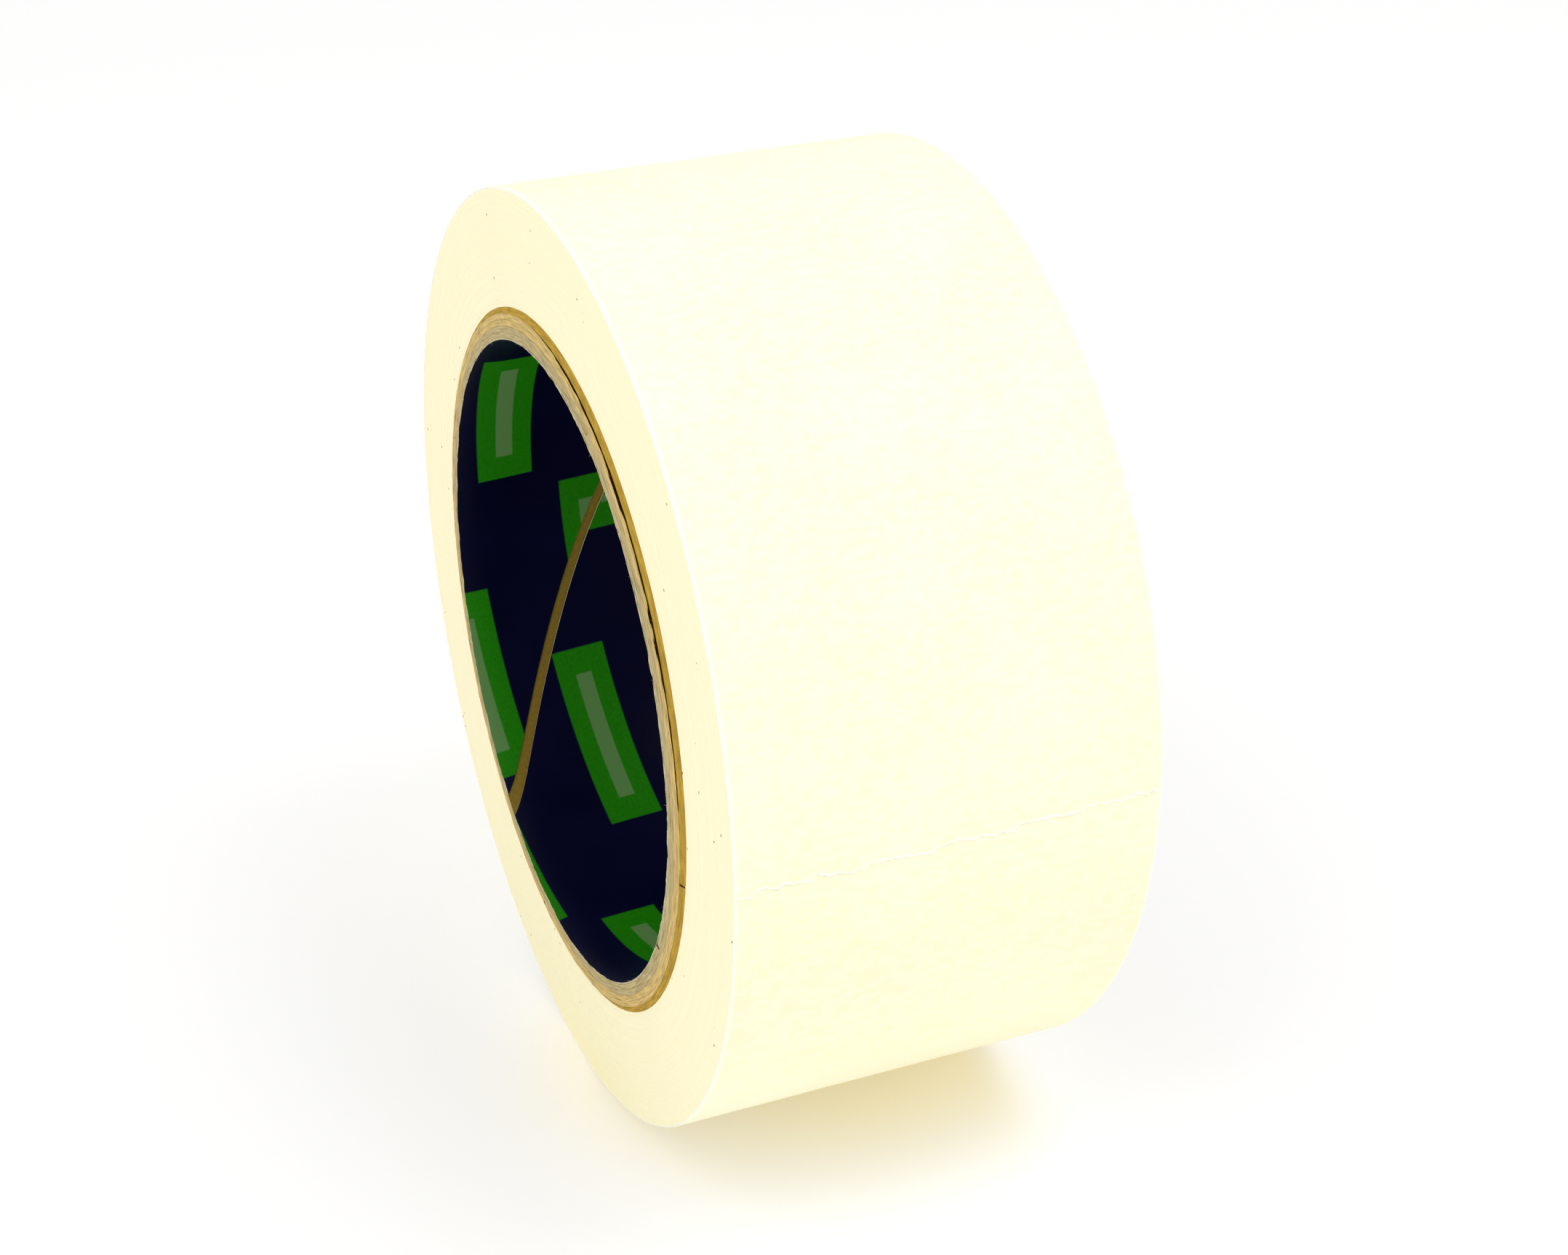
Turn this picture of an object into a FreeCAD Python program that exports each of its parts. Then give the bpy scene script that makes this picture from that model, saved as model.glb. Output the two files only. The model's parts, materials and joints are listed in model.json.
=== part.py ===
import FreeCAD, Part
import math
import os
import Sketcher

# Roll of paper masking tape on a spirally wound board core.
# Frame: the roll stands on its tread, its axis lies along Y and +Z is up. The origin is the
# middle of the core's bore. Angles are measured from +X towards +Z.
# Every wrap is one tape thickness above the one below it, so the outline is a spiral: two half
# circles whose centres lie a quarter of a thickness either side of the axis. The torn end lies
# where that spiral starts, and its last stretch is a flap that peels off in hinged lengths.

SIZES = [
    ("tape_width", 50.0, "slit width of the tape, and length of the core"),
    ("roll_radius", 56.5, "radius of the full roll at the torn end"),
    ("tape_thickness", 0.13, "crepe paper with its adhesive"),
    ("bore_radius", 38.3, "inside of the core, for a 76 mm spindle"),
    ("liner_thickness", 0.15, "printed paper inside the core"),
    ("board_thickness", 0.80, "one ply of core board"),
    ("strip_width", 100.0, "width of the strips that the core is wound from"),
    ("liner_gap", 1.5, "open butt seam of the liner, square to the seam"),
    ("board_gap", 0.6, "open butt seam of a board ply, square to the seam"),
    ("glue_line", 0.02, "gap that the glue fills between two layers"),
    ("liner_seam_angle", 236.8, "where the liner's seam meets the front face, degrees"),
    ("seam_stagger", 95.0, "turn from one ply's seam to the next, degrees"),
    ("seam_run_on", 6.0, "how far a seam's cut runs past each face"),
    ("seam_cut_depth", 0.4, "how far a seam's cut reaches past each side of its ply"),
    ("flap_length", 24.0, "free end of the tape, along its outside"),
    ("flap_seat", 0.02, "gap between the flap and the wrap under it"),
    ("flap_joint_gap", 0.05, "gap between two lengths of the flap"),
    ("torn_end_angle", 1.9, "where the flap ends, degrees"),
    ("torn_depth", 0.9, "deepest notch of the torn edge"),
    ("torn_slope", 1.2, "how much higher the tear ends at the back face"),
]
BOARD_PLIES = 5
FLAP_LENGTHS = 4
TORN_POINTS = 24
TOOTH_TURN = 2.4        # sets the uneven run of the torn edge's teeth
TEAR_OVERRUN = 1.04     # width of the tear's outline over the tape's width
SMALLEST_CUT = 0.0001   # share of a piece that any cut must take away

PLY_PITCH = "(Sizes.board_thickness + Sizes.glue_line)"
LINER_OUTSIDE = "(Sizes.bore_radius + Sizes.liner_thickness)"
TURN = "Sizes.tape_thickness / 4"
FLAP_ANGLE = "(Sizes.flap_length / Sizes.roll_radius * 180 / pi)"
HALF_JOINT_ANGLE = "(Sizes.flap_joint_gap / 2 / Sizes.roll_radius * 180 / pi)"
FLAP_OUTSIDE = "(Sizes.roll_radius - Sizes.tape_thickness / 4 + Sizes.flap_seat)"


def make_sheet(doc):
    sheet = doc.addObject("Spreadsheet::Sheet", "Sizes")
    for row, (alias, value, note) in enumerate(SIZES, start=1):
        sheet.set("A%d" % row, alias)
        sheet.set("B%d" % row, str(value))
        sheet.set("C%d" % row, note)
        sheet.setAlias("B%d" % row, alias)
    doc.recompute()
    return sheet


def origin_feature(body, role):
    return next(item for item in body.Origin.OriginFeatures if item.Role == role)


def add_sketch(body, name, plane):
    sketch = body.newObject("Sketcher::SketchObject", name)
    sketch.AttachmentSupport = [(origin_feature(body, plane), "")]
    sketch.MapMode = "FlatFace"
    return sketch


def hold(sketch, *constraint):
    return sketch.addConstraint(Sketcher.Constraint(*constraint))


def size(sketch, name, formula, *constraint):
    """Add a constraint with a name and bind it to the sheet."""
    sketch.renameConstraint(hold(sketch, *constraint), name)
    sketch.setExpression("Constraints." + name, formula)


def circle(sketch, name, formula, start):
    """A circle about the roll's axis, whose radius is bound to the sheet."""
    centre = FreeCAD.Vector(0, 0, 0)
    index = sketch.addGeometry(Part.Circle(centre, FreeCAD.Vector(0, 0, 1), start), False)
    hold(sketch, "Coincident", index, 3, -1, 1)
    size(sketch, name, formula, "Radius", index, start)


def arc(sketch, centre_x, radius, start_deg, end_deg):
    whole = Part.Circle(FreeCAD.Vector(centre_x, 0, 0), FreeCAD.Vector(0, 0, 1), radius)
    return sketch.addGeometry(
        Part.ArcOfCircle(whole, math.radians(start_deg), math.radians(end_deg)), False)


def line(sketch, start, end):
    return sketch.addGeometry(
        Part.LineSegment(FreeCAD.Vector(*start, 0), FreeCAD.Vector(*end, 0)), False)


def polar(centre_x, radius, angle_deg):
    angle = math.radians(angle_deg)
    return centre_x + radius * math.cos(angle), radius * math.sin(angle)


def pad_across(body, sketch):
    """Pad a side outline over the tape's width, half of it each way."""
    pad = body.newObject("PartDesign::Pad", body.Name + "_pad")
    pad.Profile = (sketch, [""])
    pad.Midplane = True
    pad.setExpression("Length", "Sizes.tape_width")
    return pad


def turn_about_axis(body, formula):
    """Turn a body about the roll's axis, from +X towards +Z."""
    body.Placement = FreeCAD.Placement(
        FreeCAD.Vector(0, 0, 0), FreeCAD.Rotation(FreeCAD.Vector(0, -1, 0), 1))
    body.setExpression("Placement.Rotation.Angle", formula)


def make_core_layer(doc, name, inside, thickness, gap, seam_angle):
    """One strip of the core: a tube, cut open along the helix where its edges butt."""
    sizes = doc.Sizes
    body = doc.addObject("PartDesign::Body", name)
    ring = add_sketch(body, name + "_ring", "XZ_Plane")
    circle(ring, "inside", inside, sizes.bore_radius)
    circle(ring, "outside", inside + " + " + thickness, sizes.roll_radius)
    tube = pad_across(body, ring)

    around = "(2 * pi * (%s))" % inside
    strip = "((Sizes.strip_width + %s) / %s)" % (gap, around)
    lead = "(%s * tan(asin(%s)))" % (around, strip)

    cut = add_sketch(body, name + "_seam", "XY_Plane")
    low = -sizes.tape_width
    near = sizes.bore_radius
    far = sizes.roll_radius
    corners = [(near, low), (far, low), (far, low + 1), (near, low + 1)]
    sides = [line(cut, corners[i], corners[(i + 1) % 4]) for i in range(4)]
    for i in range(4):
        hold(cut, "Coincident", sides[i], 2, sides[(i + 1) % 4], 1)
    hold(cut, "Horizontal", sides[0])
    hold(cut, "Vertical", sides[1])
    hold(cut, "Horizontal", sides[2])
    hold(cut, "Vertical", sides[3])
    size(cut, "near", inside + " - Sizes.seam_cut_depth", "DistanceX", -1, 1, sides[0], 1, near)
    size(cut, "deep", thickness + " + 2 * Sizes.seam_cut_depth",
         "DistanceX", sides[0], 1, sides[0], 2, far - near)
    size(cut, "below", "Sizes.tape_width / 2 + Sizes.seam_run_on",
         "DistanceY", sides[0], 1, -1, 1, -low)
    size(cut, "tall", "%s / cos(asin(%s))" % (gap, strip),
         "DistanceY", sides[1], 1, sides[1], 2, 1)

    helix = body.newObject("PartDesign::SubtractiveHelix", name + "_seam_cut")
    helix.Profile = (cut, [""])
    helix.ReferenceAxis = (origin_feature(body, "Y_Axis"), [""])
    helix.Mode = "pitch-height-angle"
    helix.setExpression("Pitch", lead)
    helix.setExpression("Height", "Sizes.tape_width + 2 * Sizes.seam_run_on")
    turn_about_axis(body, "%s + 360 * Sizes.seam_run_on / %s" % (seam_angle, lead))
    return body, tube, helix


def make_core(doc):
    layers = [make_core_layer(doc, "core_liner", "Sizes.bore_radius", "Sizes.liner_thickness",
                              "Sizes.liner_gap", "Sizes.liner_seam_angle")]
    for number in range(1, BOARD_PLIES + 1):
        inside = "%s + Sizes.glue_line + %d * %s" % (LINER_OUTSIDE, number - 1, PLY_PITCH)
        seam = "Sizes.liner_seam_angle + %d * Sizes.seam_stagger" % number
        layers.append(make_core_layer(doc, "core_ply_%d" % number, inside,
                                      "Sizes.board_thickness", "Sizes.board_gap", seam))
    return layers


def make_windings(doc):
    """All the wound tape under the flap, as the solid that a full roll is."""
    sizes = doc.Sizes
    body = doc.addObject("PartDesign::Body", "tape_windings")
    side = add_sketch(body, "tape_side", "XZ_Plane")
    step = sizes.tape_thickness
    shift = step / 4
    flap_deg = math.degrees(sizes.flap_length / sizes.roll_radius)
    upper_radius = sizes.roll_radius - shift
    upper = arc(side, shift, upper_radius, flap_deg, 180)
    lower = arc(side, -shift, sizes.roll_radius - 3 * shift, 180, 360)
    under = arc(side, shift, upper_radius - step, 0, flap_deg)
    rise = line(side, polar(shift, upper_radius - step, flap_deg),
                polar(shift, upper_radius, flap_deg))
    hold(side, "PointOnObject", upper, 3, -1)
    hold(side, "PointOnObject", lower, 3, -1)
    hold(side, "Coincident", under, 3, upper, 3)
    hold(side, "PointOnObject", upper, 2, -1)
    hold(side, "Coincident", upper, 2, lower, 1)
    hold(side, "PointOnObject", lower, 2, -1)
    hold(side, "Coincident", lower, 2, under, 1)
    hold(side, "Coincident", under, 2, rise, 1)
    hold(side, "Coincident", rise, 2, upper, 1)
    hold(side, "PointOnObject", upper, 3, rise)
    size(side, "upper_shift", TURN, "DistanceX", -1, 1, upper, 3, shift)
    size(side, "lower_shift", TURN, "DistanceX", lower, 3, -1, 1, shift)
    size(side, "upper_radius", "Sizes.roll_radius - " + TURN, "Radius", upper, upper_radius)
    size(side, "flap_root", FLAP_ANGLE, "Angle", rise, math.radians(flap_deg))
    core_outside = "%s + %d * %s + Sizes.glue_line" % (LINER_OUTSIDE, BOARD_PLIES, PLY_PITCH)
    circle(side, "core_outside", core_outside, sizes.bore_radius + sizes.liner_thickness)
    pad_across(body, side)
    turn_about_axis(body, "Sizes.torn_end_angle")
    return body


def make_flap_length(doc, number):
    """One length of the free end. Number 1 is at the root, the last one has the torn edge."""
    sizes = doc.Sizes
    name = "tape_end_%d" % number
    body = doc.addObject("PartDesign::Body", name)
    side = add_sketch(body, name + "_side", "XZ_Plane")
    shift = sizes.tape_thickness / 4
    outside = sizes.roll_radius - shift + sizes.flap_seat
    inside = outside - sizes.tape_thickness
    each = math.degrees(sizes.flap_length / sizes.roll_radius) / FLAP_LENGTHS
    low_deg = (FLAP_LENGTHS - number) * each
    high_deg = low_deg + each
    last = number == FLAP_LENGTHS
    outer = arc(side, shift, outside, low_deg, high_deg)
    inner = arc(side, shift, inside, low_deg, high_deg)
    low_end = line(side, polar(shift, inside, low_deg), polar(shift, outside, low_deg))
    high_end = line(side, polar(shift, inside, high_deg), polar(shift, outside, high_deg))
    hold(side, "PointOnObject", outer, 3, -1)
    hold(side, "Coincident", inner, 3, outer, 3)
    hold(side, "Coincident", low_end, 1, inner, 1)
    hold(side, "Coincident", low_end, 2, outer, 1)
    hold(side, "Coincident", high_end, 1, inner, 2)
    hold(side, "Coincident", high_end, 2, outer, 2)
    hold(side, "PointOnObject", outer, 3, high_end)
    size(side, "shift", TURN, "DistanceX", -1, 1, outer, 3, shift)
    size(side, "outside", FLAP_OUTSIDE, "Radius", outer, outside)
    size(side, "inside", FLAP_OUTSIDE + " - Sizes.tape_thickness", "Radius", inner, inside)
    high = "%s * %d / %d - %s" % (FLAP_ANGLE, FLAP_LENGTHS - number + 1, FLAP_LENGTHS,
                                  HALF_JOINT_ANGLE)
    size(side, "high", high, "Angle", high_end, math.radians(high_deg))
    if last:
        hold(side, "Horizontal", low_end)
    else:
        hold(side, "PointOnObject", outer, 3, low_end)
        low = "%s * %d / %d + %s" % (FLAP_ANGLE, FLAP_LENGTHS - number, FLAP_LENGTHS,
                                     HALF_JOINT_ANGLE)
        size(side, "low", low, "Angle", low_end, math.radians(low_deg))
    pad_across(body, side)
    if last:
        tear_edge(body)
    turn_about_axis(body, "Sizes.torn_end_angle")
    return body


def tear_edge(body):
    """Cut the uneven teeth of the torn edge, square to the face of the tape."""
    edge = add_sketch(body, "torn_edge", "YZ_Plane")
    points = [(-2.0, -1.0)]
    formulas = [("-Sizes.tape_width", "-Sizes.torn_depth")]
    for k in range(TORN_POINTS + 1):
        along = k / TORN_POINTS
        tooth = 0.5 + 0.5 * math.sin(TOOTH_TURN * k * k)
        points.append((along, tooth))
        formulas.append(("Sizes.tape_width * (%.5f)" % (TEAR_OVERRUN * (along - 0.5)),
                         "Sizes.torn_depth * %.3f + Sizes.torn_slope * %.5f" % (tooth, along)))
    points.append((2.0, -1.0))
    formulas.append(("Sizes.tape_width", "-Sizes.torn_depth"))
    count = len(points)
    sides = [line(edge, points[i], points[(i + 1) % count]) for i in range(count)]
    for i in range(count):
        hold(edge, "Coincident", sides[i], 2, sides[(i + 1) % count], 1)
    for i, (along, height) in enumerate(formulas):
        size(edge, "along_%d" % i, along, "DistanceX", -1, 1, sides[i], 1, points[i][0])
        size(edge, "height_%d" % i, height, "DistanceY", -1, 1, sides[i], 1, points[i][1])
    cut = body.newObject("PartDesign::Pocket", "tear")
    cut.Profile = (edge, [""])
    cut.Type = "ThroughAll"
    cut.Midplane = True


def check(doc, bodies, layers):
    for item in doc.Objects:
        if "Invalid" in item.State or "Error" in item.State:
            raise RuntimeError("%s failed: %s" % (item.Label, item.State))
    for body in bodies:
        if body.Shape.isNull() or not body.Shape.isValid() or len(body.Shape.Solids) != 1:
            raise RuntimeError(body.Label + " is not one valid solid")
    last = doc.getObject("tape_end_%d" % FLAP_LENGTHS)
    cuts = [(tube, helix) for body, tube, helix in layers]
    cuts.append((doc.getObject(last.Name + "_pad"), last))
    for whole, cut in cuts:
        if cut.Shape.Volume > whole.Shape.Volume * (1 - SMALLEST_CUT):
            raise RuntimeError(cut.Label + " took nothing away")


def main():
    doc = FreeCAD.newDocument("masking_tape_roll")
    make_sheet(doc)
    layers = make_core(doc)
    bodies = [layer[0] for layer in layers]
    bodies.append(make_windings(doc))
    for number in range(1, FLAP_LENGTHS + 1):
        bodies.append(make_flap_length(doc, number))
    doc.recompute()
    check(doc, bodies, layers)
    os.makedirs("parts", exist_ok=True)
    for body in bodies:
        body.Shape.exportStep("parts/%s.step" % body.Label)
        print("%-16s %10.2f mm3" % (body.Label, body.Shape.Volume))


main()
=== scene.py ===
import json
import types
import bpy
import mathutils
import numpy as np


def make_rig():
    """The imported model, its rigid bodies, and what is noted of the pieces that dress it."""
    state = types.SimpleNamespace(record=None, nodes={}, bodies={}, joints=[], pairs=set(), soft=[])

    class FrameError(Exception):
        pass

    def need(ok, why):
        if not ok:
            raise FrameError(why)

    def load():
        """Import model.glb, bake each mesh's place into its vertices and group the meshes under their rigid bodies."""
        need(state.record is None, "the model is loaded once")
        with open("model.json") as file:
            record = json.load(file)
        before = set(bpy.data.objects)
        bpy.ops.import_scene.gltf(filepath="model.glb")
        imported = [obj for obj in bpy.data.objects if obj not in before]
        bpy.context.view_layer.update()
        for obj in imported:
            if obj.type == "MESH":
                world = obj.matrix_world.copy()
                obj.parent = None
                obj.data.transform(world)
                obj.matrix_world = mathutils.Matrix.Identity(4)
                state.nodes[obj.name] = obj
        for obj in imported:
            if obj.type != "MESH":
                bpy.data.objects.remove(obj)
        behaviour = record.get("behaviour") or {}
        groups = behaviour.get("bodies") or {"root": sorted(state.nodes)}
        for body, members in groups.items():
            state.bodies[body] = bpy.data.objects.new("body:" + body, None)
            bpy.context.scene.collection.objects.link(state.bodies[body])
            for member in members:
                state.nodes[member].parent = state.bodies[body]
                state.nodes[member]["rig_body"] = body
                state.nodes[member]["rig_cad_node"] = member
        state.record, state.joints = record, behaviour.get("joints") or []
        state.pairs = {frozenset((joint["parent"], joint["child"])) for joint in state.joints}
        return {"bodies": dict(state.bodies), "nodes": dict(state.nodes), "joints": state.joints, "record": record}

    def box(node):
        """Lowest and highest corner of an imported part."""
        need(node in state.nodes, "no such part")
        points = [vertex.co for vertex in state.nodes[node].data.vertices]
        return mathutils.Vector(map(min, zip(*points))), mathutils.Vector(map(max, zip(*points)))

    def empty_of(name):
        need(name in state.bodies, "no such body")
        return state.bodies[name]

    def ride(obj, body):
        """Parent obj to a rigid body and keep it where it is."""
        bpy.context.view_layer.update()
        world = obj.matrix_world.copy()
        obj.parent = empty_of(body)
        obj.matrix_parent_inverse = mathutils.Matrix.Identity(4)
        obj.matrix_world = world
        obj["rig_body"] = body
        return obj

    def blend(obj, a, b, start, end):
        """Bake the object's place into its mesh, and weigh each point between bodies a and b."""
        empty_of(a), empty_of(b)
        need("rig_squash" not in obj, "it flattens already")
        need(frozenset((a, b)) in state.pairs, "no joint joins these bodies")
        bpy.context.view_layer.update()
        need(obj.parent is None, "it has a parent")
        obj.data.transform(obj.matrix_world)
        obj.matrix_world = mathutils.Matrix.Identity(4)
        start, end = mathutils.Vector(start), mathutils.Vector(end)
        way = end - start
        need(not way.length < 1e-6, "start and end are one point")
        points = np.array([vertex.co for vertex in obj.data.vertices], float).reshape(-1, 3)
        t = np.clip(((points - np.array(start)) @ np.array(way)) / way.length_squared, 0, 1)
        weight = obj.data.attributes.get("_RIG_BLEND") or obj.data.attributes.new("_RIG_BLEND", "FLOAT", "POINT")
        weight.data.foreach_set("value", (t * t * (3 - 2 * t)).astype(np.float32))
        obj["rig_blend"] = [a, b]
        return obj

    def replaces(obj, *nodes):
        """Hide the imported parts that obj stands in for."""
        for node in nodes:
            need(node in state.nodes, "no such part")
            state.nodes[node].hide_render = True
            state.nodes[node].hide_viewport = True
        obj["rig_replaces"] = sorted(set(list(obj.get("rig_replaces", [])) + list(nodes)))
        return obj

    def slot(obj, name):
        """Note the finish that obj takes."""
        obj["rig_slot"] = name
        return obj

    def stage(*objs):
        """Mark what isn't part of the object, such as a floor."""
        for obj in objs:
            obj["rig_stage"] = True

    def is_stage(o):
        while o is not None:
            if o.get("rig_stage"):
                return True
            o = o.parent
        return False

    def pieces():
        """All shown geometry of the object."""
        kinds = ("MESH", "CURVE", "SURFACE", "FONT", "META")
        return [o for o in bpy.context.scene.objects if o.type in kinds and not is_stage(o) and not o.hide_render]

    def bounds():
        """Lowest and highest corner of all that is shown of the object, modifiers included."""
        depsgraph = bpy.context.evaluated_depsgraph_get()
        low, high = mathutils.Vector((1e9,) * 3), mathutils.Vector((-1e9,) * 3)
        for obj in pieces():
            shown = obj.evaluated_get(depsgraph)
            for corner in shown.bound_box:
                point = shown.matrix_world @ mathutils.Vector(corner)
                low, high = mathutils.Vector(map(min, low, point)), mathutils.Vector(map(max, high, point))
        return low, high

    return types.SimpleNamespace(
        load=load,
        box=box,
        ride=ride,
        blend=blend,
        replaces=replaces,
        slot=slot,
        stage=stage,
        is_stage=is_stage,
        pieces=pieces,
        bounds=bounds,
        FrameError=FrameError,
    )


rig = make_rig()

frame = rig.load()

import json
import math

import bpy
import numpy as np
from bpy.props import FloatProperty, FloatVectorProperty, IntProperty, PointerProperty
from mathutils import Matrix, Vector

bl_info = {
    "name": "Masking Tape Roll",
    "version": (1, 0, 0),
    "blender": (4, 5, 0),
    "location": "View3D > Sidebar > Tape Roll",
    "description": "Builds a roll of crepe masking tape on a spirally wound board core",
    "category": "Add Mesh",
}

# The roll's axis lies along Y. Angles are measured from +X towards +Z, in radians, and a turn
# along the tape is measured from its torn end, over the top of the roll and on inwards.

SIZE_FILE = "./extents.json"
FULL_TURN = 2 * math.pi
MM = 0.001
FRAME_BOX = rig.bounds()
ROLL_BODY = "roll"
FLAP_BODIES = ["flap_1", "flap_2", "flap_3", "flap_4"]
FLAP_NODES = ["tape_end_1", "tape_end_2", "tape_end_3", "tape_end_4"]
BOARD_NODES = ["core_ply_1", "core_ply_2", "core_ply_3", "core_ply_4", "core_ply_5"]


def hinge_angle_and_radius(joint):
    """Where a hinge of the flap lies round the roll."""
    x, _, z = joint["pos_m"]
    return math.atan2(z, x), math.hypot(x, z)


HINGES = [hinge_angle_and_radius(joint) for joint in frame["record"]["behaviour"]["joints"]]
FLAP_STEP = HINGES[0][0] - HINGES[1][0]
TORN_ANGLE = HINGES[-1][0] - FLAP_STEP
FLAP_TURN = HINGES[0][0] - TORN_ANGLE
HALF_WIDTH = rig.box("tape_windings")[1][1]
BORE_RADIUS = frame["record"]["mounts"][0]["dims"]["r_mm"] * MM
LINER_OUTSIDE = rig.box("core_liner")[1][2]
CORE_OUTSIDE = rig.box("core_ply_5")[1][0]

WAVE_CELLS = 8192  # random heights along a wave before it repeats
TEAR_OFFSET = 1.0  # metres along the waves to the middle of the tear
BACK_CUT = 0.5  # rise and flare of the core's back end, next to the front's
RISE_DEPTH = 0.9 * MM  # depth in the roll over which the core's rise fades
FLARE_DEPTH = 1.0 * MM  # depth in the roll over which its flare fades
FIBRE_RADIUS = 0.014 * MM
SMOOTH_UNDER = math.radians(35)  # edges that bend less than this are shaded smooth
EDGE_ROWS = [0, 0.12, 0.28, 0.5, 0.75, 1.0]  # rows near the tape's edge, in rounding widths
CUT_ROWS = np.array([0, 0.15, 0.4, 0.8, 1.5, 2.4]) * MM  # rows near a cut end of the core
TAPE_ROWS, TORN_ROWS, CORE_ROWS = 12, 430, 38  # across the middle, with the innermost of those
WRAP_STEPS, FLAP_STEPS, TORN_STEPS = 420, 24, 46  # along the outer wrap and the flap lengths


def paint(red, green, blue):
    """A colour given in display values from 0 to 255, as the linear values that shaders take."""
    def linear(value):
        level = value / 255
        return level / 12.92 if level <= 0.04045 else ((level + 0.055) / 1.055) ** 2.4
    return linear(red), linear(green), linear(blue)


def length(name, description, default):
    return FloatProperty(name=name, description=description, default=default, unit="LENGTH",
                         precision=5)


def colour(name, description, default):
    return FloatVectorProperty(name=name, description=description, default=default,
                               subtype="COLOR", min=0, max=1)


def spot(name, description, default):
    return FloatVectorProperty(name=name, description=description, default=default,
                               subtype="TRANSLATION", unit="LENGTH")


def turn(name, description, default):
    return FloatProperty(name=name, description=description, default=default, subtype="ANGLE")


def share(name, description, default):
    return FloatProperty(name=name, description=description, default=default, min=0, max=1,
                         subtype="FACTOR")


class TapeSizes(bpy.types.PropertyGroup):
    """Sizes of the wound tape and its torn end."""
    radius: length("Roll radius", "Outside of the roll at the torn end", HINGES[0][1])
    thickness: length("Tape thickness", "Radial step from one wrap to the next", 0.13 * MM)
    slack: length("Slack", "Air between two wraps", 0.003 * MM)
    steps: IntProperty(name="Steps per wrap", description="Segments in one inner wrap", default=132)
    edge_scatter: length("Edge scatter", "How far a wrap's edge lies off its neighbours", 0.026 * MM)
    edge_round: length("Edge rounding", "Width of the crushed outer edge", 0.34 * MM)
    tear_coarse: length("Tear, coarse", "Height of the long steps of the torn edge", 1.0 * MM)
    tear_fine: length("Tear, fine", "Height of the short teeth of the torn edge", 0.2 * MM)
    tear_slope: length("Tear slope", "How much higher the tear ends at the back", 1.1 * MM)
    tear_lift: length("Tear lift", "How far the torn edge stands off the wrap below", 0.05 * MM)
    feather: length("Feather", "Length over which the torn paper thins out", 0.7 * MM)
    fibres: IntProperty(name="Fibres", description="Loose fibres along the torn edge", default=260)
    fibre_length: length("Fibre length", "Longest loose fibre", 0.75 * MM)


class CoreSizes(bpy.types.PropertyGroup):
    """Sizes of the wound core and its printed liner."""
    board: length("Board thickness", "One ply of core board", 0.8 * MM)
    glue: length("Glue line", "Gap between two layers of the core", 0.02 * MM)
    strip: length("Strip width", "Width of the strips that the core is wound from", 100 * MM)
    liner_gap: length("Liner seam", "Open seam of the liner, square to the seam", 1.3 * MM)
    board_gap: length("Board seam", "Open seam of a ply, square to the seam", 0.15 * MM)
    seam_angle: turn("Liner seam place", "Where the liner's seam meets the front face",
                     math.radians(236.8))
    stagger: turn("Seam stagger", "Turn from one ply's seam to the next", math.radians(95))
    rim_rise: length("Rim rise", "How far the innermost ply stands out of the roll", 0.76 * MM)
    ply_rise: length("Outer rise", "How far the split under the outer ply stands out", 0.45 * MM)
    flare: length("Flare", "How far the cut rim opens outwards", 0.5 * MM)
    roughness: length("Cut roughness", "Unevenness of the cut board", 0.035 * MM)
    fringe: length("Liner fringe", "Unevenness of the liner's cut edge", 0.07 * MM)
    crack: length("Crack width", "Widest part of the split under the outer ply", 0.95 * MM)
    crack_depth: length("Crack depth", "How far the split reaches into the core", 2.5 * MM)
    crack_middle: turn("Crack place", "Angle at which the split is widest", math.radians(44))
    crack_reach: turn("Crack reach", "Angle from its widest place to its end", math.radians(50))
    fuzz: IntProperty(name="Fuzz", description="Loose fibres round the cut core", default=620)
    fuzz_length: length("Fuzz length", "Longest fibre on the cut core", 0.5 * MM)


class PrintSizes(bpy.types.PropertyGroup):
    """Plain patches printed on the liner."""
    patch_length: length("Patch length", "Size of a patch round the core", 25 * MM)
    patch_width: length("Patch width", "Size of a patch along the core", 7.2 * MM)
    bar_length: length("Bar length", "Size of the pale bar round the core", 18 * MM)
    bar_width: length("Bar width", "Size of the pale bar along the core", 2.2 * MM)
    tilt: turn("Tilt", "Slant of the patches", math.radians(3.7))
    first_angle: turn("First patch", "Angle of one patch's middle", math.radians(227))
    first_across: length("First patch across", "Distance of its middle from the front", 13.9 * MM)
    next_around: length("Next, around", "Step to the next patch, round the core", 40.8 * MM)
    next_across: length("Next, across", "Step to the next patch, along the core", -5.4 * MM)
    row_around: length("Row, around", "Step to the next row, round the core", -14.0 * MM)
    row_across: length("Row, across", "Step to the next row, along the core", 17.9 * MM)


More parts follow.
